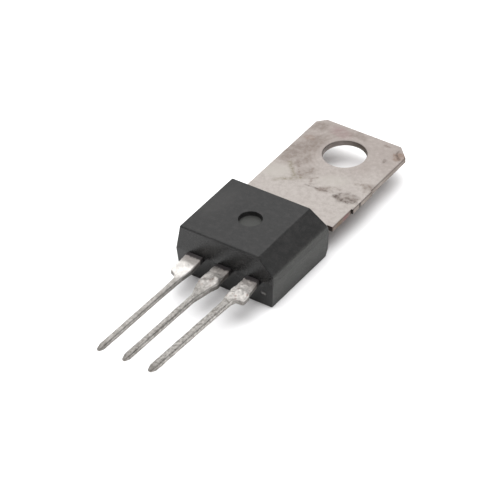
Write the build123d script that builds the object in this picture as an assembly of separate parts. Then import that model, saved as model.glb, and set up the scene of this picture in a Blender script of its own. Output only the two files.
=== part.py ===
from build123d import *
import os
from math import atan2, degrees, radians, tan

# Triac in a moulded three-lead power package with a mounting tab. Millimetres.
# Frame: X across the package, +Y towards the tab, -Y along the leads, +Z up.
# The origin is the centre of the body's flat back, on which the part lies.

# ---- moulded body ----
BODY_WIDTH = 9.6            # across, at the parting line, where it is widest
BODY_LENGTH = 8.4           # lead end to tab end, at the parting line
BODY_HEIGHT = 4.5
PARTING_HEIGHT = 2.45       # the mould halves meet on the frame's upper face
SIDE_DRAFT = 5.5            # degrees, both halves, long sides
END_DRAFT = 9.5             # degrees, upper half, lead end and tab end
LOWER_END_DRAFT = 2.5       # degrees, lower half, lead end
FLANK_WIDTH = 1.6           # the broad slope along the +X edge, seen from above
FLANK_HEIGHT = 1.4          # how far that slope comes down
HEEL_LENGTH = 0.26          # bevel under the tab end, along Y
HEEL_HEIGHT = 0.75          # and up the wall
TOLERANCE = 0.01            # tells an edge on the parting line from its neighbours
UPPER_EDGE_RADIUS = 0.13    # every edge of the upper half
LOWER_EDGE_RADIUS = 0.06    # every edge of the lower half
EJECTOR_DIAMETER = 2.05     # round dimple left by the ejector pin
EJECTOR_DEPTH = 0.4
EJECTOR_OFFSET = -0.2       # off the centre line, away from the slope
EJECTOR_DRAFT = 8.0         # degrees

# ---- stamped frame: tab, die pad and leads, one gauge of strip ----
FRAME_THICKNESS = 0.5
TAB_WIDTH = 9.25
TAB_LENGTH = 12.45          # from its shoulders to its free end
NECK_LENGTH = 0.7           # between the body and the tab's shoulders
NECK_WIDTH = 8.2
LEFT_CORNER_CUT = 0.7
RIGHT_CORNER_CUT = 1.1
HOLE_DIAMETER = 3.8
HOLE_EDGE_DISTANCE = 3.4    # hole centre to the tab's free end
RAIL_STUB_WIDTH = 3.0       # stub where the strip's rail was sheared off, +X side
RAIL_STUB_REACH = 0.12
RAIL_STUB_START = 2.9       # from the tab's shoulders
STAMPING_RADIUS = 0.05      # rolled upper edge of the blanked tab

PAD_WIDTH = 6.4
PAD_LENGTH = 5.3            # reach of the die pad into the body
LOCK_HOLE_DIAMETER = 1.0    # plastic flows through these and locks the pad
LOCK_HOLE_SPACING = 4.6
LOCK_HOLE_INSET = 0.95      # from the body's tab end

# ---- leads ----
LEAD_PITCH = 2.54
LEAD_LENGTH = 13.9          # from the body's lead end to the tips
SHOULDER_EMBED = 0.3        # reach of the shoulders into the plastic
# The sheared shoulders are ragged, each in its own way. Each side is drawn from the
# body outwards as (offset from the lead's pitch line, distance from the lead end).
SHOULDER_LEFT_SIDES = (
    ((-1.05, 0), (-0.88, 1.8), (-0.95, 2.6), (-0.38, 2.85), (-0.04, 3.5), (-0.02, 4.2)),
    ((-0.66, 0), (-0.72, 2.0), (-0.7, 2.6), (-0.5, 3.5), (-0.12, 4.6)),
    ((-0.3, 0), (-0.27, 1.3), (-0.39, 2.0), (-0.28, 3.2), (-0.08, 4.3)),
)
SHOULDER_RIGHT_SIDES = (
    ((0.44, 0), (0.55, 1.9), (0.46, 2.6), (0.36, 3.2), (0.32, 4.2)),
    ((0.68, 0), (0.76, 1.7), (0.86, 2.2), (0.66, 2.7), (0.46, 3.8), (0.28, 4.6)),
    ((0.85, 0), (1.08, 1.7), (1.28, 2.1), (1.26, 2.85), (0.62, 2.95), (0.4, 3.5), (0.38, 4.3)),
)
LEG_ROOT = 3.0              # where the legs begin, from the body's lead end
LEG_SHIFTS = (0.17, 0.08, 0.16)         # of each leg's root, off its pitch line
LEG_LEANS = (-0.29, -0.26, -0.37)       # sideways drift of each tip
LEG_DROPS = (0.08, 0.0, 0.0)            # of each tip, below the frame's plane
LEG_WIDTHS = (0.5, 0.54, 0.62)
LEG_THICKNESS = 0.46
LEG_EDGE_RADIUS = 0.13
TIP_TAPER_LENGTH = 0.5
TIP_TAPER_SHARE = 0.5       # width left at the very end
INNER_LEAD_WIDTH = 1.1
BOND_PAD_WIDTH = 2.1
BOND_PAD_SHIFT = 0.12       # outwards from the lead's line
FRAME_GAP = 0.7             # between the die pad and the outer leads' bond pads
WALL_TO_BOND_PAD = 0.9      # plastic between the lead end and the bond pads

# ---- die and its connections ----
DIE_SIDE = 2.6
DIE_THICKNESS = 0.26
DIE_SETBACK = 0.35          # from the inner edge of the die pad
DIE_OFFSET = -0.35
SOLDER_THICKNESS = 0.06
SOLDER_MARGIN = 0.12
MAIN_WIRE_DIAMETER = 0.36
GATE_WIRE_DIAMETER = 0.18
WIRE_RISE = 0.75            # crown of the wire loops above the frame
FOOT_LENGTH = 2.2           # of a flattened wire foot, in wire diameters
FOOT_WIDTH = 1.4            # likewise
FOOT_HEIGHT = 0.6           # likewise
FOOT_LIFT = 0.01            # of the loop's ends, clear of what the foot is bonded to
MAIN_BOND_SPOT = (-0.45, -0.35)         # on the die, from its centre
GATE_BOND_SPOT = (0.85, -0.85)

# ---- worked out from the sizes above ----
FRAME_TOP = PARTING_HEIGHT
FRAME_BOTTOM = FRAME_TOP - FRAME_THICKNESS
TAB_END = BODY_LENGTH / 2
LEAD_END = -BODY_LENGTH / 2
TAB_SHOULDER = TAB_END + NECK_LENGTH
TAB_TIP = TAB_SHOULDER + TAB_LENGTH
HOLE_CENTRE = TAB_TIP - HOLE_EDGE_DISTANCE
PAD_EDGE = TAB_END - PAD_LENGTH
BOND_PAD_LOW = LEAD_END + WALL_TO_BOND_PAD
BOND_PAD_HIGH = PAD_EDGE - FRAME_GAP
BOND_PAD_LINE = LEAD_PITCH + BOND_PAD_SHIFT
LEG_TIP = LEAD_END - LEAD_LENGTH
DIE_CENTRE = (DIE_OFFSET, PAD_EDGE + DIE_SETBACK + DIE_SIDE / 2)
DIE_BOTTOM = FRAME_TOP + SOLDER_THICKNESS
DIE_TOP = DIE_BOTTOM + DIE_THICKNESS


def plate(outline, bottom, thickness):
    """A flat piece of the strip: a closed outline in XY, given its thickness."""
    face = make_face(Polyline(*outline, close=True))
    return Pos(0, 0, bottom) * extrude(face, thickness, dir=(0, 0, 1))


def strip(x_min, x_max, y_min, y_max):
    """A rectangular stretch of the strip between four edges."""
    centre = ((x_min + x_max) / 2, (y_min + y_max) / 2, FRAME_BOTTOM + FRAME_THICKNESS / 2)
    return Pos(*centre) * Box(x_max - x_min, y_max - y_min, FRAME_THICKNESS)


def one(shape):
    """The single solid of a fused shape."""
    solids = shape.solids()
    assert len(solids) == 1, f"expected one solid, got {len(solids)}"
    return solids[0]


def rolled_plate(outline):
    """A blanked piece of the strip, its upper edges rolled over by the punch."""
    blank = one(plate(outline, FRAME_BOTTOM, FRAME_THICKNESS))
    upper_face = blank.faces().sort_by(Axis.Z)[-1]
    return one(fillet(upper_face.edges(), STAMPING_RADIUS))


def body_blank():
    """The moulding's outside: its front outline crossed with its side outline."""
    half, upper = BODY_WIDTH / 2, BODY_HEIGHT - PARTING_HEIGHT
    side = tan(radians(SIDE_DRAFT))
    end = tan(radians(END_DRAFT))
    lower_end = tan(radians(LOWER_END_DRAFT))
    foot = half - PARTING_HEIGHT * side
    flank_foot = BODY_HEIGHT - FLANK_HEIGHT
    flank_x = half - (flank_foot - PARTING_HEIGHT) * side
    front = [
        (-foot, 0),
        (foot, 0),
        (half, PARTING_HEIGHT),
        (flank_x, flank_foot),
        (flank_x - FLANK_WIDTH, BODY_HEIGHT),
        (-(half - upper * side), BODY_HEIGHT),
        (-half, PARTING_HEIGHT),
    ]
    profile = [
        (LEAD_END + PARTING_HEIGHT * lower_end, 0),
        (TAB_END - HEEL_LENGTH, 0),
        (TAB_END, HEEL_HEIGHT),
        (TAB_END, PARTING_HEIGHT),
        (TAB_END - upper * end, BODY_HEIGHT),
        (LEAD_END + upper * end, BODY_HEIGHT),
        (LEAD_END, PARTING_HEIGHT),
    ]
    front_face = Plane.XZ * make_face(Polyline(*front, close=True))
    side_face = Plane.YZ * make_face(Polyline(*profile, close=True))
    along = extrude(front_face, BODY_LENGTH, both=True)
    across = extrude(side_face, BODY_WIDTH, both=True)
    blank = one(along & across)
    tall = [edge for edge in blank.edges() if edge.center().Z > PARTING_HEIGHT + TOLERANCE]
    blank = one(fillet(tall, UPPER_EDGE_RADIUS))
    low = [edge for edge in blank.edges() if edge.center().Z < PARTING_HEIGHT - TOLERANCE]
    return one(fillet(low, LOWER_EDGE_RADIUS))


def ejector_dimple():
    """The shallow round pocket of the ejector pin, slightly tapered."""
    radius = EJECTOR_DIAMETER / 2
    floor_radius = radius - EJECTOR_DEPTH * tan(radians(EJECTOR_DRAFT))
    cone = Cone(floor_radius, radius, EJECTOR_DEPTH)
    return Pos(EJECTOR_OFFSET, 0, BODY_HEIGHT - EJECTOR_DEPTH / 2) * cone


def screw_hole():
    """The punched hole, with the rolled rim that the punch leaves on its upper side."""
    radius = HOLE_DIAMETER / 2
    punch = Pos(0, HOLE_CENTRE, FRAME_BOTTOM) * Cylinder(radius, 3 * FRAME_THICKNESS)
    rim = Cone(radius, radius + STAMPING_RADIUS, STAMPING_RADIUS)
    return punch + Pos(0, HOLE_CENTRE, FRAME_TOP - STAMPING_RADIUS / 2) * rim


def tab_plate():
    """The mounting tab: two corner cuts, one sheared rail stub and the screw hole."""
    half = TAB_WIDTH / 2
    stub_low = TAB_SHOULDER + RAIL_STUB_START
    stub_high = stub_low + RAIL_STUB_WIDTH
    outline = [
        (-half, TAB_SHOULDER),
        (half, TAB_SHOULDER),
        (half, stub_low),
        (half + RAIL_STUB_REACH, stub_low),
        (half + RAIL_STUB_REACH, stub_high),
        (half, stub_high),
        (half, TAB_TIP - RIGHT_CORNER_CUT),
        (half - RIGHT_CORNER_CUT, TAB_TIP),
        (-half + LEFT_CORNER_CUT, TAB_TIP),
        (-half, TAB_TIP - LEFT_CORNER_CUT),
    ]
    return one(rolled_plate(outline) - screw_hole())


def die_pad():
    """The part of the frame inside the body: neck, lock holes and die pad."""
    neck = strip(-NECK_WIDTH / 2, NECK_WIDTH / 2, TAB_END - LOCK_HOLE_INSET / 2, TAB_SHOULDER)
    pad = strip(-PAD_WIDTH / 2, PAD_WIDTH / 2, PAD_EDGE, TAB_END)
    for side in (-1, 1):
        place = Pos(side * LOCK_HOLE_SPACING / 2, TAB_END - LOCK_HOLE_INSET, FRAME_TOP)
        pad -= place * Cylinder(LOCK_HOLE_DIAMETER / 2, 4 * FRAME_THICKNESS)
        neck -= place * Cylinder(LOCK_HOLE_DIAMETER / 2, 4 * FRAME_THICKNESS)
    return neck + pad


def outer_lead(index):
    """What shows of a lead: its ragged shoulder and its leg."""
    line = (index - 1) * LEAD_PITCH
    left, right = SHOULDER_LEFT_SIDES[index], SHOULDER_RIGHT_SIDES[index]
    embedded = LEAD_END + SHOULDER_EMBED
    outline = [(line + left[0][0], embedded)]
    outline += [(line + offset, LEAD_END - distance) for offset, distance in left[1:]]
    outline += [(line + offset, LEAD_END - distance) for offset, distance in right[:0:-1]]
    outline += [(line + right[0][0], embedded)]
    return rolled_plate(outline) + leg(index, line + LEG_SHIFTS[index])


def leg(index, line):
    """A leg lofted from the shoulder to its tapered tip, edges rounded by tin."""
    width, lean, drop = LEG_WIDTHS[index], LEG_LEANS[index], LEG_DROPS[index]
    middle = FRAME_BOTTOM + FRAME_THICKNESS / 2
    root = LEAD_END - LEG_ROOT
    taper = LEG_TIP + TIP_TAPER_LENGTH
    share = (root - taper) / (root - LEG_TIP)

    def section(x, y, z, scale):
        rounding = LEG_EDGE_RADIUS * scale
        shape = RectangleRounded(width * scale, LEG_THICKNESS * scale, rounding)
        return Plane(origin=(x, y, z), x_dir=(1, 0, 0), z_dir=(0, -1, 0)) * shape

    start = section(line, root, middle, 1)
    knee = section(line + lean * share, taper, middle - drop * share, 1)
    tip = section(line + lean, LEG_TIP, middle - drop, TIP_TAPER_SHARE)
    return loft([start, knee], ruled=True) + loft([knee, tip], ruled=True)


def tab_frame():
    """Tab, die pad and centre lead, blanked from the strip in one piece."""
    root = LEAD_END + SHOULDER_EMBED / 2
    inner = strip(-INNER_LEAD_WIDTH / 2, INNER_LEAD_WIDTH / 2, root, PAD_EDGE)
    return one(tab_plate() + die_pad() + inner + outer_lead(1))


def side_lead(index):
    """An outer lead with its bond pad, which also locks it in the plastic."""
    side = index - 1
    line = side * LEAD_PITCH
    half = INNER_LEAD_WIDTH / 2
    inner = strip(line - half, line + half, LEAD_END + SHOULDER_EMBED / 2, BOND_PAD_LOW)
    centre, half = side * BOND_PAD_LINE, BOND_PAD_WIDTH / 2
    bond_pad = strip(centre - half, centre + half, BOND_PAD_LOW, BOND_PAD_HIGH)
    return one(inner + bond_pad + outer_lead(index))


def triac_die():
    x, y = DIE_CENTRE
    return Pos(x, y, DIE_BOTTOM + DIE_THICKNESS / 2) * Box(DIE_SIDE, DIE_SIDE, DIE_THICKNESS)


def die_solder():
    """The solder layer under the die, a little wider than the die."""
    x, y = DIE_CENTRE
    side = DIE_SIDE + 2 * SOLDER_MARGIN
    return Pos(x, y, FRAME_TOP + SOLDER_THICKNESS / 2) * Box(side, side, SOLDER_THICKNESS)


def bond_wire(diameter, die_spot, index):
    """A wedge-bonded wire: one loop between two flattened feet."""
    start = Vector(DIE_CENTRE[0] + die_spot[0], DIE_CENTRE[1] + die_spot[1], DIE_TOP)
    finish = Vector((index - 1) * BOND_PAD_LINE, (BOND_PAD_LOW + BOND_PAD_HIGH) / 2, FRAME_TOP)
    lift = Vector(0, 0, diameter / 2 + FOOT_LIFT)
    crown = Vector((start.X + finish.X) / 2, (start.Y + finish.Y) / 2, DIE_TOP + WIRE_RISE)
    path = ThreePointArc(start + lift, crown, finish + lift)
    wire = sweep(Plane(path @ 0, z_dir=path % 0) * Circle(diameter / 2), path)
    heading = degrees(atan2(finish.Y - start.Y, finish.X - start.X))
    foot = Box(FOOT_LENGTH * diameter, FOOT_WIDTH * diameter, FOOT_HEIGHT * diameter)
    for end in (start, finish):
        wire += Pos(end.X, end.Y, end.Z + FOOT_HEIGHT * diameter / 2) * Rot(0, 0, heading) * foot
    return one(wire)


def moulded_body(inside):
    """The plastic, cast round every piece that it holds."""
    body = body_blank() - ejector_dimple()
    for piece in inside:
        body -= piece
    return one(body)


pieces = {
    "tab_frame": tab_frame(),
    "main_terminal_lead": side_lead(0),
    "gate_lead": side_lead(2),
    "triac_die": triac_die(),
    "die_solder": die_solder(),
    "main_bond_wire": bond_wire(MAIN_WIRE_DIAMETER, MAIN_BOND_SPOT, 0),
    "gate_bond_wire": bond_wire(GATE_WIRE_DIAMETER, GATE_BOND_SPOT, 2),
}
pieces["moulded_body"] = moulded_body(list(pieces.values()))

os.makedirs("parts", exist_ok=True)
for name, piece in pieces.items():
    export_step(piece, f"parts/{name}.step")
    print(name, "volume", round(piece.volume, 3))
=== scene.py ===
# %% [markdown]
# # A triac on a white table
#
# A triac is a small power switch. The black block is filled epoxy, cast round a
# chip. The flat tab and the three leads are blanked from one strip of plated
# copper alloy. This lesson dresses the plain CAD model of it: each finish is a set
# of shader nodes, and the tin and the solder on the leads are surfaces computed
# with numpy. The CAD pieces are loaded first, because all the rest is placed by them.

# %% Load the CAD model
import math

import bpy
import numpy as np
from mathutils import Matrix, Vector


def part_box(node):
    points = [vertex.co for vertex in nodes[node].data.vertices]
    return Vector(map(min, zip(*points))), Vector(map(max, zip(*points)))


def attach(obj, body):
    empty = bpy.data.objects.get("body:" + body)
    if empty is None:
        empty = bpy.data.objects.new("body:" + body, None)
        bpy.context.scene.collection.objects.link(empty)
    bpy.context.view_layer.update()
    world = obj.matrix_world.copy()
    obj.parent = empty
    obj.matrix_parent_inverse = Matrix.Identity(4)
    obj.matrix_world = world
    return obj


MM = 0.001

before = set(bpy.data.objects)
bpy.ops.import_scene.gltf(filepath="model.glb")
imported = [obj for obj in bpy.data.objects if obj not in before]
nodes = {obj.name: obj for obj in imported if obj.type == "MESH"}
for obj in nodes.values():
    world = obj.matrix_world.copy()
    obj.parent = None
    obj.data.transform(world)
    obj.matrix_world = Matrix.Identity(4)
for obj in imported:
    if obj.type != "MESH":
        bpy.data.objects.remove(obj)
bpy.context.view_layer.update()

# %% [markdown]
# ## Heights and lines that everything else is placed by
#
# A finish that changes over a piece, and a bead of solder that sits on a lead, both
# need to know where the piece is. The boxes of the CAD nodes give those places, so
# nothing here has to be measured twice.

# %% Read the places of the CAD pieces
def in_mm(metres):
    """The CAD's sizes are whole micrometres, so this drops only the mesh's noise."""
    return round(metres / MM, 3)


body_low, body_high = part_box("moulded_body")
strip_low, strip_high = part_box("tab_frame")

BODY_TOP, BODY_SIDE = in_mm(body_high.z), in_mm(body_high.x)
LEAD_END = in_mm(body_low.y)        # the face of the body that the leads come out of
STRIP_TOP, STRIP_BOTTOM = in_mm(strip_high.z), in_mm(strip_low.z)
TAB_TIP, LEG_TIP = in_mm(strip_high.y), in_mm(strip_low.y)
HOLE_CENTRE = TAB_TIP - 3.4         # the screw hole lies on the centre line
SHEARED_EDGE = 4.7                  # about where the tab's +X edge is
JOINT = STRIP_TOP                   # the mould's halves meet on the strip
print("body", (BODY_TOP, BODY_SIDE), "strip", (STRIP_BOTTOM, STRIP_TOP))
print("lead end", LEAD_END, "leg tip", LEG_TIP, "hole", HOLE_CENTRE, "tab tip", TAB_TIP)

# %% [markdown]
# ## Writing shaders as sums
#
# A node tree is quicker to read as arithmetic. `Value` wraps one output socket, and
# adding or multiplying two of them adds the Math node that does it. `Finish` holds
# one material, and its `node` method is the only place where other nodes are made.

# %% A socket that can be added and multiplied
class Value:
    """One output socket of a shader tree, with Python's arithmetic on it."""

    def __init__(self, finish, socket):
        self.finish, self.socket = finish, socket

    def math(self, operation, *others, swap=False, clamp=False):
        values = [*others, self] if swap else [self, *others]
        settings = {"operation": operation, "use_clamp": clamp}
        return self.finish.node("Math", settings, dict(enumerate(values)))

    def __add__(self, other):
        return self.math("ADD", other)

    def __sub__(self, other):
        return self.math("SUBTRACT", other)

    def __rsub__(self, other):
        return self.math("SUBTRACT", other, swap=True)

    def __mul__(self, other):
        return self.math("MULTIPLY", other)

    def __truediv__(self, other):
        return self.math("DIVIDE", other)

    def __pow__(self, other):
        return self.math("POWER", other)

    __radd__, __rmul__ = __add__, __mul__

    def clamp(self):
        return self.math("ADD", 0.0, clamp=True)

    def larger(self, other):
        return self.math("MAXIMUM", other)

    def smaller(self, other):
        return self.math("MINIMUM", other)

    def rise(self, start, end):
        """0 below start, 1 above end, smooth between; start may be the higher one."""
        settings = {"interpolation_type": "SMOOTHSTEP"}
        return self.finish.node("MapRange", settings, {0: self, 1: start, 2: end})

    def plateau(self, start, full, fading, end):
        """0 outside start and end, 1 between full and fading, smooth on the slopes."""
        return self.rise(end, fading) * self.rise(start, full)


# %% A material under construction
class Finish:
    """A material: its Principled shader, and one method that makes every other node."""

    def __init__(self, name, **sockets):
        self.material = bpy.data.materials.new(name)
        self.material.use_nodes = True
        self.tree = self.material.node_tree
        self.shader = self.tree.nodes["Principled BSDF"]
        self.finish(**sockets)
        self.place = self.node("TexCoord", output="Object")
        split = self.node("SeparateXYZ", {}, {0: self.place}, output=None)
        self.x, self.y, self.z = (Value(self, o) * (1 / MM) for o in split.outputs)

    def feed(self, made, sockets):
        for key, value in sockets.items():
            if isinstance(value, Value):
                self.tree.links.new(value.socket, made.inputs[key])
            else:
                made.inputs[key].default_value = value

    def finish(self, **sockets):
        """Feeds the Principled shader, and gives back the material."""
        self.feed(self.shader, {key.replace("_", " "): v for key, v in sockets.items()})
        return self.material

    def node(self, kind, settings=None, sockets=None, output=0):
        """Adds a node of this kind, applies its settings, then feeds its sockets."""
        made = self.tree.nodes.new("ShaderNode" + kind)
        for key, value in (settings or {}).items():
            setattr(made, key, value)
        self.feed(made, sockets or {})
        return made if output is None else Value(self, made.outputs[output])

    def mix(self, share, first, second):
        """The first colour where share is 0, the second where it is 1."""
        first, second = (c if isinstance(c, Value) else (*c, 1) for c in (first, second))
        return self.node("Mix", {"data_type": "RGBA"}, {0: share, 6: first, 7: second}, 2)

    def bump(self, height, strength, depth):
        """A normal that follows height; depth is what a height of 1 stands for, in mm."""
        sockets = {"Height": height, "Strength": strength, "Distance": depth * MM}
        return self.node("Bump", {}, sockets)

    def stretched(self, scale=(1, 1, 1), shift=(0, 0, 0), turn=0.0):
        """Object coordinates in mm, moved, turned about Z and stretched."""
        sockets = {
            0: self.place,
            "Location": shift,
            "Rotation": (0, 0, math.radians(turn)),
            "Scale": tuple(s / MM for s in scale),
        }
        return self.node("Mapping", {}, sockets)

    def noise(self, per_mm, detail=2.0, rough=0.5, stretch=(1, 1, 1), **place):
        """Cloudy noise from 0 to 1 with about per_mm lumps to the millimetre."""
        sockets = {
            "Vector": self.stretched(stretch, **place),
            "Scale": per_mm,
            "Detail": detail,
            "Roughness": rough,
        }
        return self.node("TexNoise", {}, sockets)

    def cells(self, per_mm, **place):
        """Distance to the nearest of scattered points, about per_mm to the millimetre."""
        return self.node("TexVoronoi", {}, {"Vector": self.stretched(**place), "Scale": per_mm})

    def spot(self, x, y, radius, soft=0.5, squash=1.0, turn=0.0, drift=0.0, sway=0.0):
        """1 inside a round or oval mark at (x, y) in mm, fading to 0 over soft mm.

        drift and sway shift its outline along X and Y, to make it irregular.
        """
        c, s = math.cos(math.radians(turn)), math.sin(math.radians(turn))
        dx, dy = self.x - x + drift, self.y - y + sway
        along, across = dx * c + dy * s, (dy * c - dx * s) / squash
        distance = (along ** 2 + across ** 2) ** 0.5
        return distance.rise(radius + soft / 2, radius - soft / 2)

    def stroke(self, places, width, soft=0.3, drift=0.0, sway=0.0):
        """1 along a line through places in mm, fading to 0 over soft mm at its edges."""
        line = 0.0
        for (x0, y0), (x1, y1) in zip(places, places[1:]):
            length = math.hypot(x1 - x0, y1 - y0)
            c, s = (x1 - x0) / length, (y1 - y0) / length
            dx, dy = self.x - x0 + drift, self.y - y0 + sway
            along = dx * c + dy * s
            beyond = along - (along * (1 / length)).clamp() * length
            distance = (beyond ** 2 + (dx * s - dy * c) ** 2) ** 0.5
            line = distance.rise((width + soft) / 2, (width - soft) / 2).larger(line)
        return line


def dress(piece, material):
    """Gives the piece this material and no other."""
    piece.data.materials.clear()
    piece.data.materials.append(material)
    print(piece.name, "wears", material.name, "of", len(material.node_tree.nodes), "nodes")


# %% [markdown]
# ## The moulded body
#
# Filled epoxy is black, and it comes out of a spark-eroded mould with a fine, even
# grain. The base colour stays nearly black, because most of what is seen on it is
# reflected light. The face at the lead end is smoother than the rest, and painted
# darker as shade. The wall under the broad slope is rougher, and painted greyer with
# streaks and grain, as painted light that the table throws on it. So the body is
# first divided into zones by height and by depth behind the lead end's leaning face.
#
# Then come its marks. Handling has paled the top a little along one side, dark specks
# follow the mould's joint, a few pale chips lie at the slope's foot, one pale fleck
# sits on the lead end, and the floor of the ejector's dimple is paler.

# %% Zones of the body
LOWER_LEAN, UPPER_LEAN = math.tan(math.radians(2.5)), math.tan(math.radians(9.5))
SLOPE_FOOT = BODY_TOP - 1.4         # where the broad slope turns into the wall


def body_zones(f):
    """Shares of the top, the lead end's face, the +X side and the wall on it."""
    above, behind = f.z - JOINT, f.y - LEAD_END
    depth = (behind + above * LOWER_LEAN).smaller(behind - above * UPPER_LEAN)
    top = f.z.rise(BODY_TOP - 0.3, BODY_TOP - 0.05)
    face = depth.rise(0.09, 0.02) * (1 - top)
    side = f.x.rise(BODY_SIDE - 0.5, BODY_SIDE - 0.3)
    wall = side * f.z.rise(SLOPE_FOOT + 0.15, SLOPE_FOOT) * (1 - face)
    return top, face, side, wall


# %% Marks on the body
DIMPLE_PLACE, DIMPLE_RADIUS, DIMPLE_FLOOR = (-0.2, 0.0), 0.98, BODY_TOP - 0.4
SPECK_BLACK, CHIP_WHITE = (0.003, 0.003, 0.003), (0.45, 0.44, 0.42)
FLECK_GREY, DIMPLE_GREY = (0.30, 0.29, 0.28), (0.042, 0.043, 0.040)
FLECK_PLACE, FLECK_HEIGHTS = (3.8, -4.15), (1.0, 1.2, 1.25, 1.42)


def body_marks(f, tone, face, side):
    """The colour with specks, chips, a fleck and the dimple's floor, and the specks."""
    specks = f.cells(2.1).rise(0.2, 0.06)
    specks = specks * f.z.plateau(JOINT - 0.25, JOINT - 0.05, JOINT + 0.07, JOINT + 0.2)
    chips = f.cells(1.15, shift=(0.4, 0.1, 0)).rise(0.1, 0.05)
    foot = SLOPE_FOOT
    chips = chips * f.z.plateau(foot - 0.2, foot - 0.1, foot + 0.05, foot + 0.15)
    fleck = f.spot(*FLECK_PLACE, radius=0.22, soft=0.2, squash=0.5) * face
    fleck = fleck * f.z.plateau(*FLECK_HEIGHTS)
    dimple = f.spot(*DIMPLE_PLACE, DIMPLE_RADIUS, soft=0.1)
    floor = DIMPLE_FLOOR
    dimple = dimple * f.z.plateau(floor - 0.1, floor - 0.05, floor + 0.05, floor + 0.1)
    tone = f.mix(specks * side * 0.9, tone, SPECK_BLACK)
    tone = f.mix(chips * side * 0.8, tone, CHIP_WHITE)
    # A pale fleck on the lead end's face.
    tone = f.mix(fleck * 0.35, tone, FLECK_GREY)
    return f.mix(dimple * 0.6, tone, DIMPLE_GREY), specks


# %% Black epoxy
COAL, SOFT_COAL = (0.0095, 0.0095, 0.0098), (0.0155, 0.0155, 0.0152)
PATCH_GREY, GRAIN_GREY = (0.030, 0.0285, 0.0285), (0.042, 0.041, 0.040)
# The next line's first colour is painted shade for the lead end's face.
FACE_SHADE_BLACK, HANDLED_GREY = (0.008, 0.008, 0.008), (0.034, 0.033, 0.032)
# The next line's colours are painted light on the wall under the slope, laid out as streaks and as
# grain.
WALL_SHEEN_GREY, DUST_AND_SHEEN_GREY = (0.052, 0.052, 0.048), (0.10, 0.10, 0.095)


def black_epoxy():
    f = Finish("black_epoxy", IOR=1.43)
    clouds = f.noise(0.55, detail=4, rough=0.6)
    patches = f.noise(2.2, detail=3, rough=0.65, shift=(4, 0, 0))
    grain = f.noise(14, detail=2, rough=0.6)
    streaks = f.noise(3.0, detail=3, rough=0.6, stretch=(1.0, 0.22, 1.6), turn=8)
    top, face, side, wall = body_zones(f)
    handled = f.spot(-3.9, 0.5, radius=2.2, soft=3.0, squash=0.5, turn=80) * top
    tone = f.mix(clouds, COAL, SOFT_COAL)
    tone = f.mix(patches.rise(0.42, 0.7) * 0.5, tone, PATCH_GREY)
    tone = f.mix(grain.rise(0.5, 0.72) * 0.7, tone, GRAIN_GREY)
    # Painted shade: the lead end's face is darkened.
    tone = f.mix(face * 0.5, tone, FACE_SHADE_BLACK)
    tone = f.mix(handled * (0.2 + clouds * 0.3), tone, HANDLED_GREY)
    # Painted light: the wall under the slope is made greyer, in streaks and in grain.
    tone = f.mix(wall * (0.2 + streaks * 0.5), tone, WALL_SHEEN_GREY)
    tone = f.mix(wall * grain.rise(0.45, 0.7) * 0.5, tone, DUST_AND_SHEEN_GREY)
    tone, specks = body_marks(f, tone, face, side)
    rough = 0.42 + clouds * 0.12 + patches * 0.08 - face * 0.27 + wall * 0.16
    texture = (grain * 0.6 + patches * 0.5) * (1 - face * 0.9)
    texture = texture + streaks * wall * 0.8 + specks * 0.5
    return f.finish(Base_Color=tone, Roughness=rough, Normal=f.bump(texture, 0.35, 0.03))


dress(nodes["moulded_body"], black_epoxy())

# %% [markdown]
# ## The plated strip
#
# The tab is dull nickel on copper alloy. Years of handling have browned it, mostly
# at the far end, and flux and fingers have left marks on it. Where the strip was
# sheared, along its edges, the copper shows through as brown.
#
# Stains have a place, so they are drawn one by one from two short lists: oval patches
# and thin lines. Noise then breaks up their outlines, because no stain is an oval.

# %% Stains on the tab
BROWN, OLIVE, DARK, ROSE, RUST, CREAM = (
    (0.29, 0.235, 0.20),
    (0.30, 0.265, 0.19),
    (0.12, 0.09, 0.075),
    (0.47, 0.34, 0.34),
    (0.28, 0.15, 0.08),
    (0.60, 0.57, 0.52),
)

# Patches: centre, length and width in mm, turn in degrees, softness, strength, colour.
PATCHES = (
    (-3.6, 8.9, 2.2, 1.7, 60, 1.4, 0.6, CREAM),
    (1.2, 10.2, 2.6, 1.5, 25, 1.2, 0.45, CREAM),
    (-3.5, 12.6, 5.0, 1.8, 70, 1.8, 0.42, BROWN),
    (-2.5, 11.2, 2.4, 0.9, 70, 1.1, 0.38, BROWN),
    (-1.2, 9.9, 2.2, 1.2, 60, 1.2, 0.25, BROWN),
    (1.2, 8.85, 1.3, 0.7, 20, 0.7, 0.6, BROWN),
    (3.6, 8.85, 2.0, 0.95, 24, 0.8, 0.4, BROWN),
    (4.2, 11.0, 1.0, 0.8, 50, 0.7, 0.4, BROWN),
    (-1.9, 16.4, 2.0, 1.2, -5, 0.9, 0.5, ROSE),
    (-0.4, 16.7, 1.6, 0.8, 5, 0.8, 0.4, BROWN),
    (-3.9, 16.2, 1.8, 1.0, 40, 0.9, 0.4, BROWN),
    (-3.8, 14.4, 0.7, 0.5, 0, 0.5, 0.35, RUST),
    (2.5, 16.6, 0.45, 0.3, 40, 0.3, 0.6, BROWN),
    (3.4, 14.9, 0.4, 0.3, 0, 0.3, 0.35, DARK),
    (4.2, 16.1, 1.3, 0.9, 60, 0.7, 0.5, RUST),
)

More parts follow.
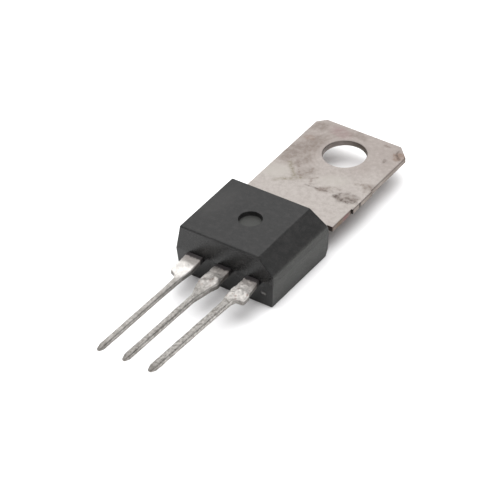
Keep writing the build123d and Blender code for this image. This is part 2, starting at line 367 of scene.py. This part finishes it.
# Lines of flux and grease: places in mm, width, softness, strength, colour.
LINES = (
    (((-3.3, 10.6), (-2.7, 9.9), (-1.95, 9.1)), 0.26, 0.5, 0.85, OLIVE),
    (((-2.75, 11.0), (-2.1, 10.2), (-1.6, 9.3)), 0.24, 0.45, 0.8, BROWN),
    (((-3.0, 7.8), (-2.5, 8.3), (-1.8, 8.7), (-1.2, 9.25)), 0.24, 0.5, 0.85, OLIVE),
    (((-1.45, 9.5), (-1.35, 9.95), (-1.0, 10.3), (-1.15, 10.8)), 0.14, 0.4, 0.8, BROWN),
    (((-0.1, 9.95), (-0.5, 9.5), (-0.15, 8.95)), 0.14, 0.35, 0.8, BROWN),
    (((-0.4, 8.55), (0.2, 8.65), (0.95, 8.65), (1.6, 8.75)), 0.12, 0.3, 0.9, DARK),
    (((0.9, 8.8), (1.4, 9.3), (1.8, 9.5), (2.4, 9.5)), 0.14, 0.45, 0.6, BROWN),
    (((2.5, 8.7), (2.75, 9.15), (3.4, 9.45), (4.3, 9.4), (4.45, 9.0)), 0.16, 0.5, 0.6, DARK),
    (((2.5, 8.6), (3.1, 8.3), (3.8, 8.35), (4.4, 8.75)), 0.3, 0.5, 0.9, DARK),
    (((2.45, 8.55), (2.65, 8.85)), 0.35, 0.4, 0.7, DARK),
    (((3.25, 8.5), (3.5, 9.0), (3.85, 8.7), (4.1, 9.05)), 0.22, 0.4, 0.75, DARK),
    (((3.1, 10.8), (3.9, 11.3), (4.5, 11.05), (4.8, 10.5)), 0.2, 0.45, 0.8, BROWN),
    (((3.7, 10.9), (4.1, 10.7), (4.3, 10.3)), 0.16, 0.4, 0.6, BROWN),
    (((3.7, 16.75), (3.75, 16.2), (4.3, 15.7)), 0.14, 0.3, 0.9, DARK),
)
print("stains:", len(PATCHES), "patches and", len(LINES), "lines")


def stained(f, tone, mottle, fine):
    """The colour with all stains laid over it, and how stained each place is."""
    drift, sway = (
        (f.noise(1.1, detail=4, rough=0.65, shift=shift) - 0.5) * 1.3
        for shift in ((7, 3, 0), (0, 11, 0))
    )
    stain = 0.0
    broken = 0.55 + mottle.rise(0.35, 0.65) * 0.45
    for x, y, length, width, turn, soft, strength, colour in PATCHES:
        mark = f.spot(x, y, length / 2, soft, width / length, turn, drift, sway) * broken
        tone = f.mix(mark * strength, tone, colour)
        if colour is not CREAM:
            stain = mark.larger(stain)
    worn = 0.35 + fine.rise(0.4, 0.6) * 0.65
    for places, width, soft, strength, colour in LINES:
        line = f.stroke(places, width, soft, drift * 0.3, sway * 0.3) * worn
        tone = f.mix(line * strength, tone, colour)
        stain = line.larger(stain)
    return tone, stain


# %% [markdown]
# ## The strip's ground and its sheared edges
#
# Under the stains the nickel goes from pale near the body to brown at the tip. Faint
# rings round the hole are the print that a screw's washer has left. The edges
# are told from the upper face by their height alone: a lip that the punch dragged
# down, painted dark as shade, then bare copper alloy that is darker towards the body,
# with two pits, painted nearly black as shade, where the rail was snapped off.

# %% Nickel
PALE_NICKEL, BROWNED_NICKEL = (0.56, 0.515, 0.485), (0.465, 0.412, 0.385)
DULL_NICKEL, CLEAN_NICKEL = (0.38, 0.34, 0.31), (0.62, 0.58, 0.55)
GRITTY_NICKEL = (0.33, 0.29, 0.26)
RING_STEP = 0.42                    # from one ring of the washer's print to the next


def nickel(f, clouds, mottle):
    """Nickel before its stains, browner past a slanting, cloudy border."""
    grain = f.noise(11, detail=2, rough=0.6)
    browned = (f.y - f.x * 0.3 + (clouds - 0.5) * 6).rise(8.5, 14.0)
    tone = f.mix(browned, PALE_NICKEL, BROWNED_NICKEL)
    tone = f.mix(mottle.rise(0.4, 0.75) * 0.45, tone, DULL_NICKEL)
    tone = f.mix(mottle.rise(0.5, 0.25) * 0.35, tone, CLEAN_NICKEL)
    return f.mix(grain.rise(0.5, 0.8) * 0.35, tone, GRITTY_NICKEL)


def washer_print(f, clouds):
    """Faint rings on the left of the hole: a sine of the distance from its centre."""
    away = (f.x ** 2 + (f.y - HOLE_CENTRE) ** 2) ** 0.5
    rings = (away * (2 * math.pi / RING_STEP) + clouds * 3).math("SINE") * 0.5 + 0.5
    zone = away.plateau(2.1, 2.4, 3.0, 4.0) * f.x.rise(-0.6, -1.6)
    return rings * zone * 0.24


# %% Sheared edges
BARE_EDGE, LIP_SHADE_BROWN, EDGE_BY_BODY = (0.20, 0.17, 0.15), (0.09, 0.065, 0.05), (0.12, 0.09, 0.075)
RED_COPPER, BROWN_COPPER, PIT_SHADE = (0.20, 0.09, 0.095), (0.15, 0.095, 0.05), (0.02, 0.015, 0.013)
HOLE_WALL_LEFT, HOLE_WALL_RIGHT = (0.23, 0.20, 0.185), (0.13, 0.11, 0.09)


def sheared(f, tone, clouds, fine):
    """The colour with the edges of the tab and the hole's wall, and the edges' share."""
    edge = f.z.rise(STRIP_TOP - 0.01, STRIP_TOP - 0.06)
    # The lip is a band of painted shade along the top of the sheared edge.
    shaded_lip = edge * f.z.rise(STRIP_TOP - 0.17, STRIP_TOP - 0.07)
    tone = f.mix(edge * (0.7 + clouds * 0.3), tone, BARE_EDGE)
    # Painted shade: a dark line along the lip under the upper face.
    tone = f.mix(shaded_lip * (0.5 + fine * 0.5), tone, LIP_SHADE_BROWN)
    # The edge is darker towards the body.
    tone = f.mix(edge * f.y.rise(8.0, 7.4) * 0.6, tone, EDGE_BY_BODY)
    red = f.spot(SHEARED_EDGE, 6.9, radius=0.4, soft=0.7)
    brown = f.spot(SHEARED_EDGE, 5.9, radius=0.3, soft=0.8)
    tone = f.mix(red * edge * 0.6, tone, RED_COPPER)
    tone = f.mix(brown * edge * 0.6, tone, BROWN_COPPER)
    # Painted shade: the two pits are painted nearly black.
    near_pit = f.spot(SHEARED_EDGE, 7.75, radius=0.16, soft=0.2)
    far_pit = f.spot(SHEARED_EDGE + 0.05, 8.9, radius=0.12, soft=0.15)
    tone = f.mix(near_pit.larger(far_pit) * edge * 0.9, tone, PIT_SHADE)
    in_hole = f.spot(0, HOLE_CENTRE, radius=2.0, soft=0.1) * edge
    hole_wall = f.mix(f.x.rise(-1.5, 1.5), HOLE_WALL_LEFT, HOLE_WALL_RIGHT)
    return f.mix(in_hole, tone, hole_wall), edge


# %% [markdown]
# ## Tin, hot dipped
#
# The centre lead is the same piece of strip as the tab, but the legs were dipped in
# tin, so the finish changes from one to the other where the plastic hides the step.
# Old tin is grey with darker tarnish. The shoulders were soldered, so they are
# brighter there, with some red flux in the pores, and their outer ends carry a
# painted highlight. Painted shade darkens the shoulders near the body, the corner
# between the shoulders and the body, and the undersides.

# %% Tin
NEW_TIN, OLD_TIN, SHOULDER_TIN = (0.57, 0.55, 0.53), (0.43, 0.405, 0.38), (0.70, 0.665, 0.635)
# The solder colour on the next line is partly solder and partly a painted highlight.
SOLDER_AND_HIGHLIGHT, TARNISH, SPECKLE = (0.85, 0.83, 0.80), (0.21, 0.195, 0.178), (0.095, 0.086, 0.078)
# Painted shade: the underside's colour on the next line, and the colours near the body and in the
# corner on the line after it.
RED_FLUX, TIP_GREY, UNDERSIDE_SHADE = (0.24, 0.14, 0.11), (0.14, 0.13, 0.115), (0.075, 0.068, 0.06)
NEAR_BODY_SHADE, CORNER_SHADE = (0.27, 0.24, 0.225), (0.035, 0.03, 0.033)
# Heights between which a leg and a shoulder get painted shade towards their undersides.
LEG_DARKENS, SHOULDER_DARKENS = (2.3, 2.1), (2.42, 2.25)


def tinned(f, dull, pale):
    """Colour, roughness, relief and the shoulders' share, on dipped and soldered tin."""
    clouds = f.noise(0.8, detail=3, shift=(0, 2, 0))
    spots = f.noise(3.4, detail=4, rough=0.65, stretch=(1.2, 0.85, 1.2), shift=(0, 5, 0))
    grain = f.noise(8, detail=2)
    pores = f.cells(1.9, shift=(0.3, 0.2, 0)).rise(0.3, 0.12)
    shoulder = f.y.rise(LEAD_END - 3.8, LEAD_END - 2.6)
    soldered = f.y.rise(LEAD_END - 1.2, LEAD_END - 2.0) * shoulder
    tip = f.y.rise(LEG_TIP + 1.6, LEG_TIP + 0.2)
    # Painted shade towards the undersides of the leg and the shoulder.
    shade_below = (f.z.rise(*LEG_DARKENS) * 0.6).larger(f.z.rise(*SHOULDER_DARKENS) * shoulder)
    # Painted shade on the shoulder near the body.
    shade_near_body = f.y.rise(LEAD_END - 1.5, LEAD_END - 0.7)
    # Painted shade in the corner between the lead and the body, with a ragged edge.
    corner = (f.y + (spots - 0.5) * 0.5).rise(LEAD_END - 0.55, LEAD_END - 0.35)
    tarnish = dull * (1 - shoulder * 0.55)

    tone = f.mix(clouds, NEW_TIN, OLD_TIN)
    tone = f.mix(shoulder * pale, tone, SHOULDER_TIN)
    # The outer shoulder is brighter, partly from solder and partly from a painted highlight.
    tone = f.mix(soldered * pale * 0.7, tone, SOLDER_AND_HIGHLIGHT)
    tone = f.mix(spots.rise(0.38, 0.64) * tarnish * 0.85, tone, TARNISH)
    tone = f.mix(grain.rise(0.5, 0.75) * tarnish * 0.3, tone, SPECKLE)
    tone = f.mix(pores * soldered * dull * 0.55, tone, RED_FLUX)
    tone = f.mix(tip * 0.45, tone, TIP_GREY)
    # The next three mixes lay the painted shade: under the lead, near the body and in the corner.
    tone = f.mix(shade_below * 0.85, tone, UNDERSIDE_SHADE)
    tone = f.mix(shade_near_body * 0.6, tone, NEAR_BODY_SHADE)
    tone = f.mix(corner * 0.9, tone, CORNER_SHADE)
    rough = 0.34 + clouds * 0.12 + spots * 0.15 - shoulder * 0.02
    return tone, rough, spots * 0.6 + grain * 0.4, shoulder


# %% The strip and the two outer leads
def strip_metal():
    """Nickel on the tab and tin on the centre lead, with the step inside the body."""
    f = Finish("frame_metal", Metallic=1.0)
    clouds, fine = f.noise(0.45, detail=3), f.noise(3.2, detail=3, rough=0.6)
    mottle = f.noise(2.4, detail=4, rough=0.7)
    tab, stain = stained(f, nickel(f, clouds, mottle), mottle, fine)
    tab = f.mix(washer_print(f, clouds), tab, BROWN)
    tab, edge = sheared(f, tab, clouds, fine)
    tab_rough = 0.34 + clouds * 0.1 + mottle * 0.12 + stain * 0.12 + edge * 0.12
    tin, tin_rough, relief, _ = tinned(f, 0.4, 0.3)
    on_tab = f.y.rise(-0.5, 0.5)
    scratches = f.noise(1.2, detail=4, rough=0.7, stretch=(7, 0.35, 1), turn=6)
    return f.finish(
        Base_Color=f.mix(on_tab, tin, tab),
        Roughness=tin_rough + (tab_rough - tin_rough) * on_tab,
        Normal=f.bump(scratches * 0.5 + fine * 0.3 + relief * 0.4, 0.3, 0.02),
    )


def lead_metal(name, dull, pale):
    """Tin on a lead. Its dull skin of oxide scatters part of the light."""
    f = Finish(name)
    tone, rough, relief, shoulder = tinned(f, dull, pale)
    return f.finish(
        Base_Color=tone,
        Metallic=0.85 - shoulder * pale * 0.35,
        Roughness=rough,
        Normal=f.bump(relief, 0.5, 0.05),
    )


dress(nodes["tab_frame"], strip_metal())
for name in ("main_terminal_lead", "gate_lead"):
    dress(nodes[name], lead_metal(name + "_tin", 0.5, 0.3))

# %% [markdown]
# ## Tin on the leads
#
# The leads were dipped in molten tin, and later soldered in and pulled out again. So
# each one wears an uneven coat. The coat is one closed surface round the lead: at
# every station along -Y it is a rounded rectangle, a little larger than the metal
# inside, and ripples and blobs are added along its normals.
#
# The outlines of the sheared shoulders are lists of points, each an offset from the
# lead's pitch line and a distance from the body, so the coat follows every notch.

# %% Shapes of the three leads, from left to right
PITCH = 2.54
LEG_LENGTH = 13.9           # from the body to the tip
LEG_ROOT = 3.0              # where the leg begins, inside the shoulder's end
SHOULDER_END = 4.7          # from here on the section is the leg's alone
LEFT_SIDES = (
    ((-1.05, 0), (-0.88, 1.8), (-0.95, 2.6), (-0.38, 2.85), (-0.04, 3.5), (-0.02, 4.2)),
    ((-0.66, 0), (-0.72, 2.0), (-0.7, 2.6), (-0.5, 3.5), (-0.12, 4.6)),
    ((-0.3, 0), (-0.27, 1.3), (-0.39, 2.0), (-0.28, 3.2), (-0.08, 4.3)),
)
RIGHT_SIDES = (
    ((0.44, 0), (0.55, 1.9), (0.46, 2.6), (0.36, 3.2), (0.32, 4.2)),
    ((0.68, 0), (0.76, 1.7), (0.86, 2.2), (0.66, 2.7), (0.46, 3.8), (0.28, 4.6)),
    ((0.85, 0), (1.08, 1.7), (1.28, 2.1), (1.26, 2.85), (0.62, 2.95), (0.4, 3.5), (0.38, 4.3)),
)
LEG_SHIFTS = (0.17, 0.08, 0.16)         # of each leg's root, off its pitch line
LEG_LEANS = (-0.29, -0.26, -0.37)       # sideways drift of each tip
LEG_DROPS = (0.08, 0, 0)                # of each tip, below the strip's plane
LEG_WIDTHS = (0.5, 0.54, 0.62)
LEG_THICKNESS = 0.46
STRIP_ROUNDING, LEG_ROUNDING = 0.045, 0.13      # corner radius on shoulder and leg
TIP_TAPER_LENGTH, TIP_TAPER_SHARE = 0.5, 0.5    # the last 0.5 mm narrow to half

# %% The tin itself
COAT = 0.010                            # least thickness
CRINKLES = (0.015, 0.06, 0.06)          # height of the shoulders' wrinkles
SWELLS = (0.012, 0.013, 0.018)          # unevenness of the legs

# Blobs of solder on the shoulders: offset from the pitch line, distance from the
# body, radius and height, all in mm.
BLOBS = (
    ((-0.25, 1.7, 0.5, 0.3), (-0.35, 2.5, 0.35, 0.05)),
    ((0.45, 1.9, 0.4, 0.34), (-0.3, 2.6, 0.3, 0.1)),
    ((0.3, 2.0, 0.32, 0.16), (0.9, 2.1, 0.32, 0.24), (-0.05, 2.7, 0.25, 0.1)),
)


# %% Ripples
def ripples(x, y, seed, finest=0.25, count=16):
    """Uneven waves of height 1, from many sines that run in random directions.

    Each sine has its own wave length w, from finest to five times as long, direction
    t and phase p: sin(2 pi (x cos t + y sin t) / w + p). Long waves are the higher.
    """
    draw = np.random.RandomState(seed)
    total, heights = 0.0, 0.0
    for _ in range(count):
        wave, turn, phase = finest * 5 ** draw.rand(), np.pi * draw.rand(), 2 * np.pi * draw.rand()
        height = wave ** 0.6
        along = x * np.cos(turn) + y * np.sin(turn)
        total = total + height * np.sin(2 * np.pi * along / wave + phase)
        heights += height
    return total * 3 / heights


# %% The ring of points that a coat is swept from
def rounded_ring(along=22, upright=5, bend=4):
    """Places and outward normals round a rectangle whose half sides are 1, anticlockwise.

    A corner's points share its place, and their normals turn through 90 degrees in
    bend steps. The places of a straight side run evenly from corner to corner.
    """
    corners = np.array(((1, -1), (1, 1), (-1, 1), (-1, -1)), float)
    places, angles = [], []
    for index, corner in enumerate(corners):
        steps = upright if index % 2 == 0 else along
        share = np.arange(1, steps)[:, None] / steps
        places.append(np.tile(corner, (bend + 1, 1)))
        places.append(corner + (corners[(index + 1) % 4] - corner) * share)
        angles.append(np.linspace(-90, 0, bend + 1) + 90 * index)
        angles.append(np.full(steps - 1, 90.0 * index))
    angles = np.radians(np.concatenate(angles))
    return np.concatenate(places), np.stack([np.cos(angles), np.sin(angles)], -1)


# %% A closed surface through rings
def swept_mesh(name, rings, material):
    """Squares between neighbouring rings of points in mm, and a fan at each end."""
    count, around = rings.shape[:2]
    points = np.concatenate([rings.reshape(-1, 3), rings[:1].mean(1), rings[-1:].mean(1)])
    row, column = np.meshgrid(np.arange(count - 1), np.arange(around), indexing="ij")
    beside = (column + 1) % around
    corners = (row * around + column, row * around + beside)
    corners += ((row + 1) * around + beside, (row + 1) * around + column)
    squares = np.stack(corners, -1).reshape(-1, 4)

    this, following = column[0], beside[0]
    first, last = count * around, (count - 1) * around
    first_fan = np.stack([this * 0 + first, following, this], -1)
    last_fan = np.stack([this * 0 + first + 1, last + this, last + following], -1)
    fans = np.stack([first_fan, last_fan], 1).reshape(-1, 3)

    mesh = bpy.data.meshes.new(name)
    mesh.from_pydata((points * MM).tolist(), [], squares.tolist() + fans.tolist())
    mesh.polygons.foreach_set("use_smooth", [True] * len(mesh.polygons))
    mesh.materials.append(material)
    mesh.update()
    made = bpy.data.objects.new(name, mesh)
    bpy.context.scene.collection.objects.link(made)
    print(name, "has", len(mesh.polygons), "faces")
    return made


# %% Sides, height and rounding along a lead
FAR = 9.0                               # further out than any side, in mm


def outline(points, distance, beyond):
    """The side at each distance from the body, or beyond where the list has ended."""
    offsets, ends = np.array(points).T
    return np.interp(distance, ends, offsets, right=beyond)


def lead_section(index, d):
    """What the section is at each distance d: its two sides, middle height, half
    height and corner radius. The sides are the outermost ones of shoulder and leg.
    """
    share = np.clip((d - LEG_ROOT) / (LEG_LENGTH - LEG_ROOT), 0, 1)
    line = LEG_SHIFTS[index] + LEG_LEANS[index] * share
    taper = np.interp(d, [LEG_LENGTH - TIP_TAPER_LENGTH, LEG_LENGTH], [1.0, TIP_TAPER_SHARE])
    half_width = LEG_WIDTHS[index] / 2 * taper
    left = np.where(d > LEG_ROOT, line - half_width, FAR)
    right = np.where(d > LEG_ROOT, line + half_width, -FAR)
    left = np.minimum(left, outline(LEFT_SIDES[index], d, FAR))
    right = np.maximum(right, outline(RIGHT_SIDES[index], d, -FAR))

    half_strip = (STRIP_TOP - STRIP_BOTTOM) / 2
    middle = (STRIP_TOP + STRIP_BOTTOM) / 2 - LEG_DROPS[index] * share
    upright = (half_strip + (LEG_THICKNESS / 2 - half_strip) * on_leg(d)) * taper
    radius = (STRIP_ROUNDING + (LEG_ROUNDING - STRIP_ROUNDING) * on_leg(d)) * taper
    return left, right, middle, upright, radius


def on_leg(d):
    """0 on the shoulder, 1 on the leg, and even in between."""
    return np.interp(d, [LEG_ROOT, SHOULDER_END], [0.0, 1.0])


# %% A coat of tin
def thickness(index, x, d, around):
    """COAT plus swells along the leg and crinkles across the shoulder.

    Crinkles are sharp because they are 0.7 - |ripples|. Both fade out at the body.
    """
    leg = on_leg(d)
    swells = ripples(d * 0.7, around * 0.25, 11 + index, 0.35) * SWELLS[index]
    crinkles = 0.7 - np.abs(ripples(x * 1.3, d * 0.9, 31 + index, 0.3))
    uneven = swells * (0.35 + 0.65 * leg) + crinkles * CRINKLES[index] * (1 - leg)
    return COAT + np.maximum(uneven * np.interp(d, [0.0, 0.6], [0.2, 1.0]), 0)


def blob_lift(index, x, d):
    """Height of the solder blobs: each is a bell over its place, made lopsided."""
    lopsided = 1 + 0.35 * ripples(x, d, 51 + index, 0.5)
    lift = 0.0
    for blob_x, blob_d, radius, height in BLOBS[index]:
        away = ((x - blob_x) ** 2 + (d - blob_d) ** 2) / radius ** 2
        lift = lift + height * np.exp(-away * lopsided)
    return lift


def tin_coat(name, index, material):
    """Tin round a lead: P = centre + place * (half - r) + normal * (r + t).

    The half sides and the corner radius r follow the shoulder and then the leg, t is
    the tin's thickness, and the blobs lift what faces up. The first ring is inside
    the body, and two shrunken rings round off the tip.
    """
    d = np.concatenate([np.linspace(-0.15, 4.6, 96), np.linspace(4.65, LEG_LENGTH, 190)])
    d = d[:, None]
    left, right, middle, upright, radius = lead_section(index, d)
    (place_x, place_z), (normal_x, normal_z) = (ring.T for ring in rounded_ring())
    x = (left + right) / 2 + place_x * ((right - left) / 2 - radius)
    z = middle + place_z * (upright - radius)
    around = np.arctan2(normal_z + place_z * 0.5, normal_x + place_x)
    tin = thickness(index, x, d, around)
    x = x + normal_x * (radius + tin)
    z = z + normal_z * (radius + tin) + blob_lift(index, x, d) * np.clip(normal_z, 0, 1)
    rings = np.stack(np.broadcast_arrays(x + (index - 1) * PITCH, LEAD_END - d, z), -1)

    end = rings[-1:].mean(1, keepdims=True)
    closing = [end + (rings[-1:] - end) * f - (0, g, 0) for f, g in ((0.8, 0.03), (0.4, 0.05))]
    return swept_mesh(name, np.concatenate([rings, *closing]), material)


# Each coat's lead, how tarnished it is, and how bright its soldered shoulder is, painted highlight
# included.
COATS = (("left", 0.7, 0.85), ("middle", 0.95, 0.15), ("right", 1.0, 0.4))
for index, (side, dull, pale) in enumerate(COATS):
    coat = tin_coat(side + "_tin_coat", index, lead_metal(side + "_coat_tin", dull, pale))
    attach(coat, "root")

# %% [markdown]
# ## What the plastic hides
#
# The chip, its solder and its two wires can only be seen when the body is hidden or
# cut open. They still get their own finishes: polished silicon, dull solder and
# bright aluminium.

# %% Chip, solder and wires
def plain_metal(name, colour, rough, grain):
    """Metal with fine darker clouds, grain of them to the millimetre."""
    f = Finish(name, Metallic=1.0)
    fine = f.noise(grain, detail=2)
    tone = f.mix(fine * 0.3, colour, tuple(c * 0.6 for c in colour))
    return f.finish(Base_Color=tone, Roughness=rough + fine * 0.1)


dress(nodes["triac_die"], plain_metal("silicon", (0.16, 0.17, 0.20), 0.12, 2))
dress(nodes["die_solder"], plain_metal("soft_solder", (0.42, 0.42, 0.43), 0.4, 6))
for name in ("main_bond_wire", "gate_bond_wire"):
    dress(nodes[name], plain_metal(name + "_aluminium", (0.80, 0.80, 0.81), 0.25, 8))

# %% [markdown]
# ## The white table
#
# The part lies on a white table. The light that the table sends back to the part
# comes from a plain matt white. The camera sees a less white sheet behind an even
# haze, as in an overexposed shot, so the open table stays white and the shadows pale.
# The table lies a hair under the part's flat back, so that the two faces don't meet.

# %% White table
TABLE_REACH, TABLE_HEIGHT = 2.0, -0.01 * MM       # in metres
MATT_WHITE, SHEET_WHITE, HAZE = (0.9, 0.9, 0.9), (0.76, 0.76, 0.765), (0.05, 0.046, 0.046)


def white_table():
    """Plain matt white, and for the camera a dimmer white plus haze."""
    f = Finish("white_table", Base_Color=(*MATT_WHITE, 1), Roughness=0.9)
    f.finish(Specular_IOR_Level=0.0)
    plain = Value(f, f.shader.outputs[0])
    sheet = f.node("BsdfDiffuse", {}, {"Color": (*SHEET_WHITE, 1)})
    haze = f.node("Emission", {}, {"Color": (*HAZE, 1)})
    hazy_sheet = f.node("AddShader", {}, {0: sheet, 1: haze})
    ray = f.node("LightPath", {}, {}, output=None)
    to_camera = Value(f, ray.outputs["Is Camera Ray"])
    mixed = f.node("MixShader", {}, {0: to_camera, 1: plain, 2: hazy_sheet})
    f.tree.links.new(mixed.socket, f.tree.nodes["Material Output"].inputs["Surface"])
    return f.material


table_mesh = bpy.data.meshes.new("table")
signs = ((-1, -1), (1, -1), (1, 1), (-1, 1))
corners = [(x * TABLE_REACH, y * TABLE_REACH, TABLE_HEIGHT) for x, y in signs]
table_mesh.from_pydata(corners, [], [(0, 1, 2, 3)])
table = bpy.data.objects.new("table", table_mesh)
bpy.context.scene.collection.objects.link(table)
dress(table, white_table())

# %% [markdown]
# ## A large lamp and a painted room
#
# The lamp is large and soft and stands a little behind the part, so the shadows fall
# forward between the leads and fade at their edges. It is left out of mirror images,
# and the metal mirrors only the room. The room is painted on the world: a glow
# overhead and one behind to the left, and two darker sides. The camera itself sees
# white behind the table's edge.

# %% Lamp
lamp = bpy.data.lights.new("lamp", "SUN")
lamp.energy, lamp.angle = 4.0, math.radians(78)
lamp_object = bpy.data.objects.new("lamp", lamp)
LAMP_TILT = (math.radians(-14), math.radians(-2), 0)    # from straight overhead
lamp_object.rotation_euler = LAMP_TILT
lamp_object.visible_glossy = False
bpy.context.scene.collection.objects.link(lamp_object)


# %% Soft room
class Sky(Finish):
    """The world's node tree, with the same arithmetic as a material's."""

    def __init__(self):
        world = bpy.data.worlds.new("soft_room")
        world.use_nodes = True
        bpy.context.scene.world = world
        self.tree = world.node_tree
        self.shader = self.tree.nodes["Background"]
        self.direction = self.node("TexCoord", output="Generated")

    def lobe(self, towards, width):
        """1 towards this direction, falling to 0 at width degrees from it."""
        unit = tuple(Vector(towards).normalized())
        sockets = {0: self.direction, 1: unit}
        along = self.node("VectorMath", {"operation": "DOT_PRODUCT"}, sockets, "Value")
        return along.rise(math.cos(math.radians(width)), 1.0)


EVEN_LIGHT = 0.42
# Lobes of light: direction, width in degrees, strength. The dark ones take light away.
LOBES = (
    ((-0.45, 0.65, 0.6), 50, 0.8),
    ((0.0, -0.1, 1), 32, 1.9),
    ((0.6, 0.6, 0.5), 60, -0.3),
    ((-0.5, -0.8, 0.25), 50, -0.25),
)

sky = Sky()
light = EVEN_LIGHT
for towards, width, strength in LOBES:
    light = light + sky.lobe(towards, width) * strength
ray = sky.node("LightPath", {}, {}, output=None)
to_camera = Value(sky, ray.outputs["Is Camera Ray"])
sky.feed(sky.shader, {"Color": (1, 1, 1, 1), "Strength": light + (1 - light) * to_camera})
print("the room has", len(LOBES), "lobes of light over an even", EVEN_LIGHT)

# %% [markdown]
# ## The camera
#
# The camera stands to the front and right of the part, well above the table, with a
# long lens. It is turned a little about its own axis. Its place is worked out from
# the two angles, the distance and the point it looks at, and its matrix has the
# directions to the right, up and back as columns.

# %% Camera
AZIMUTH, ELEVATION, ROLL = (math.radians(v) for v in (34.743, 38.012, -1.439))
DISTANCE = 0.30816                  # in metres
TARGET = Vector((0.458, -1.115, 2.28)) * MM
SENSOR_WIDTH, FOCAL_LENGTH = 36.0, 270.8

level = Vector((math.sin(AZIMUTH), -math.cos(AZIMUTH), 0))
back = level * math.cos(ELEVATION) + Vector((0, 0, math.sin(ELEVATION)))
right = Vector((math.cos(AZIMUTH), math.sin(AZIMUTH), 0))
up = back.cross(right)
turned_right = right * math.cos(ROLL) + up * math.sin(ROLL)
turned_up = up * math.cos(ROLL) - right * math.sin(ROLL)
turned = Matrix((turned_right, turned_up, back)).transposed().to_4x4()

lens = bpy.data.cameras.new("camera")
lens.sensor_width, lens.lens = SENSOR_WIDTH, FOCAL_LENGTH
lens.clip_start, lens.clip_end = 0.01, 10.0
camera = bpy.data.objects.new("camera", lens)
camera.matrix_world = Matrix.Translation(TARGET + back * DISTANCE) @ turned
bpy.context.scene.collection.objects.link(camera)
bpy.context.scene.camera = camera
bpy.context.scene.view_settings.view_transform = "Standard"
print("camera at", [round(v / MM, 1) for v in camera.matrix_world.translation], "mm")
